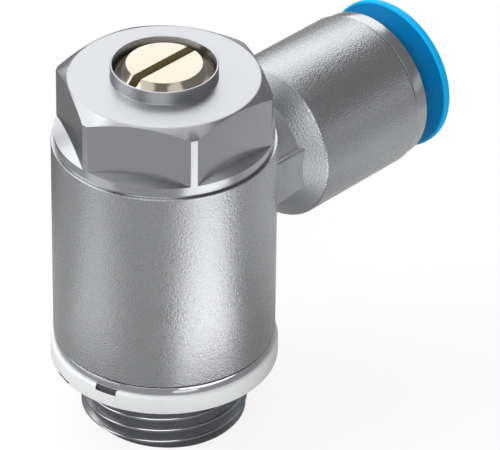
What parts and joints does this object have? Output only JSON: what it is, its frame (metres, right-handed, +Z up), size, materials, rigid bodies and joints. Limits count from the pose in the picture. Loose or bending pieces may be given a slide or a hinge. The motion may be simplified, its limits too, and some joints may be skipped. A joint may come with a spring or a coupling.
{
  "type": "one-way flow control valve",
  "caption": "Pneumatic one-way flow control valve: hollow bolt with hex head and slotted regulating screw, swivel barrel with push-in tube connector, male pipe thread.",
  "frame": {"origin": "on the bolt's axis, in the plane of the port seal ring's lower face, where the valve meets the port", "axes": "+Z up along the bolt's axis, from the thread towards the hex head; +X along the connector arm, towards the tube's mouth"},
  "size_m": [0.0445, 0.0226, 0.0402],
  "materials": {
    "bolt_metal": "smooth, turned, satin to bright",
    "white_plastic": "matte white",
    "seal_rubber": "matte black",
    "washer_metal": "polished",
    "barrel_metal": "blasted zinc die-casting, fine grain",
    "dark_plastic": "matte dark grey",
    "spring_steel": "bright stamped sheet",
    "sleeve_metal": "turned",
    "blue_plastic": "moulded, half gloss",
    "screw_brass": "bright brass"
  },
  "bodies": {
    "bolt": {"hollow_bolt": "bolt_metal", "port_seal_ring": "white_plastic", "port_o_ring": "seal_rubber", "retaining_washer": "washer_metal", "barrel_o_ring_upper": "seal_rubber", "barrel_o_ring_lower": "seal_rubber", "check_lip_seal": "seal_rubber"},
    "barrel": {"swivel_barrel": "barrel_metal", "tube_seal": "seal_rubber", "seal_spacer": "dark_plastic", "grab_ring": "spring_steel", "cartridge_sleeve": "sleeve_metal"},
    "release": {"release_ring": "blue_plastic"},
    "screw_carrier": {"screw_o_ring": "seal_rubber"},
    "screw": {"regulating_screw": "screw_brass"}
  },
  "joints": [
    {"name": "barrel_swivel", "type": "hinge", "parent": "bolt", "child": "barrel", "pos_m": [0, 0, 0.01792], "axis": [0, 0, 1], "continuous": true},
    {"name": "release_push", "type": "slide", "parent": "barrel", "child": "release", "axis": [-1, 0, 0], "range_m": [0, 0.001]},
    {"name": "screw_turn", "type": "hinge", "parent": "screw_carrier", "child": "screw", "pos_m": [0, 0, 0.0335], "axis": [0, 0, 1], "range_deg": [-1681, 0]},
    {"name": "screw_lift", "type": "slide", "parent": "bolt", "child": "screw_carrier", "axis": [0, 0, 1], "range_m": [-0.0035, 0]}
  ],
  "couplings": [
    {"joint": "screw_turn", "follows": "screw_lift", "rad_per_m": 8377.6}
  ]
}
